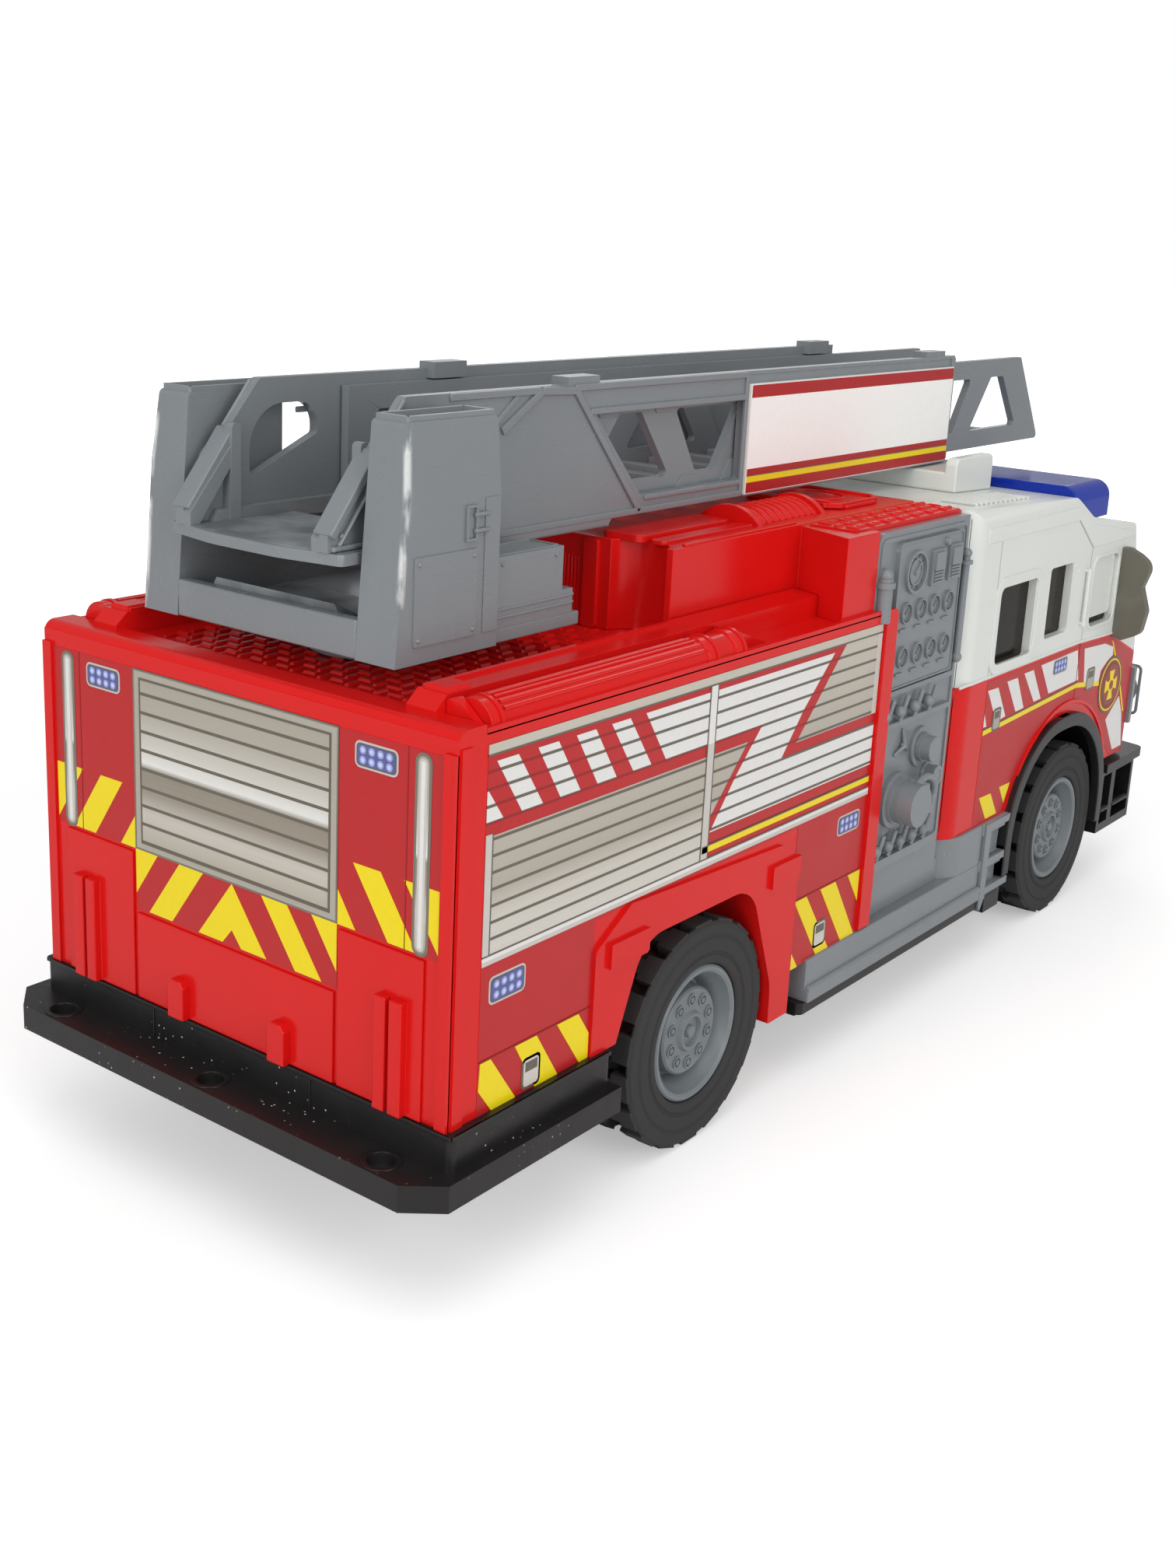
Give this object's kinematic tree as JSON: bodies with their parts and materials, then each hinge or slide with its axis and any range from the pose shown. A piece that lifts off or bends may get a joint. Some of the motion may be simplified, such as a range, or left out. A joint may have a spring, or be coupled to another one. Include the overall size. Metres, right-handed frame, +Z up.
{
  "type": "toy ladder fire engine",
  "caption": "Plastic toy fire engine with a slewing, rising and sliding ladder, boxy rear body with raised rear tray, pump panels, closed cab and free-rolling wheels.",
  "frame": {"origin": "on the ground under the middle of the bounding box", "axes": "the vehicle drives towards -Y, its left side is +X, +Z up"},
  "size_m": [0.1182, 0.3098, 0.1467],
  "materials": {
    "red_plastic": "moulded gloss",
    "white_plastic": "moulded gloss",
    "grey_plastic": "moulded satin",
    "black_plastic": "moulded satin",
    "cream_plastic": "moulded",
    "blue_plastic": "clear blue moulding",
    "smoked_plastic": "smoked clear moulding",
    "sticker": "printed film, blank",
    "tyre": "soft black plastic",
    "steel": "drawn rod"
  },
  "bodies": {
    "chassis": {"rear_body": "red_plastic", "roll_covers": "red_plastic", "rear_bumper": "black_plastic", "tail_panels": "red_plastic", "rear_fenders": "red_plastic", "rear_wheel_wells": "black_plastic", "equipment_housing": "red_plastic", "hose_roll": "red_plastic", "roof_hatch": "red_plastic", "pump_panel_right": "grey_plastic", "pump_panel_left": "grey_plastic", "pump_ports_right": "grey_plastic", "pump_ports_left": "grey_plastic", "running_boards": "grey_plastic", "cab_steps": "grey_plastic", "base_plate": "black_plastic", "cab_lower": "red_plastic", "cab_upper": "white_plastic", "cab_glazing": "smoked_plastic", "ladder_cradle": "white_plastic", "light_bar": "blue_plastic", "mirrors": "cream_plastic", "front_flares": "black_plastic", "front_bumper": "black_plastic", "front_grille": "grey_plastic"},
    "rear_wheels": {"rear_axle": "steel", "rear_rims": "grey_plastic", "rear_tyres": "tyre"},
    "front_wheels": {"front_axle": "steel", "front_rims": "grey_plastic", "front_tyres": "tyre"},
    "turntable": {"turntable_base": "grey_plastic", "turntable_columns": "grey_plastic", "turntable_beam": "grey_plastic"},
    "ladder": {"ladder_outer_frames": "grey_plastic", "ladder_outer_rungs": "grey_plastic", "ladder_platform": "grey_plastic", "sign_plates": "sticker"},
    "extension": {"ladder_inner_frames": "grey_plastic", "ladder_inner_rungs": "grey_plastic"}
  },
  "joints": [
    {"name": "rear_wheels_roll", "type": "hinge", "parent": "chassis", "child": "rear_wheels", "pos_m": [0, 0.0714, 0.0233], "axis": [1, 0, 0], "continuous": true},
    {"name": "front_wheels_roll", "type": "hinge", "parent": "chassis", "child": "front_wheels", "pos_m": [0, -0.0995, 0.0233], "axis": [1, 0, 0], "continuous": true},
    {"name": "turntable_turn", "type": "hinge", "parent": "chassis", "child": "turntable", "pos_m": [0, 0.1108, 0.104], "axis": [0, 0, 1], "continuous": true},
    {"name": "ladder_raise", "type": "hinge", "parent": "turntable", "child": "ladder", "pos_m": [0, 0.131, 0.131], "axis": [-1, 0, 0], "range_deg": [0, 60]},
    {"name": "ladder_extend", "type": "slide", "parent": "ladder", "child": "extension", "axis": [0, -1, 0], "range_m": [0, 0.15]}
  ]
}
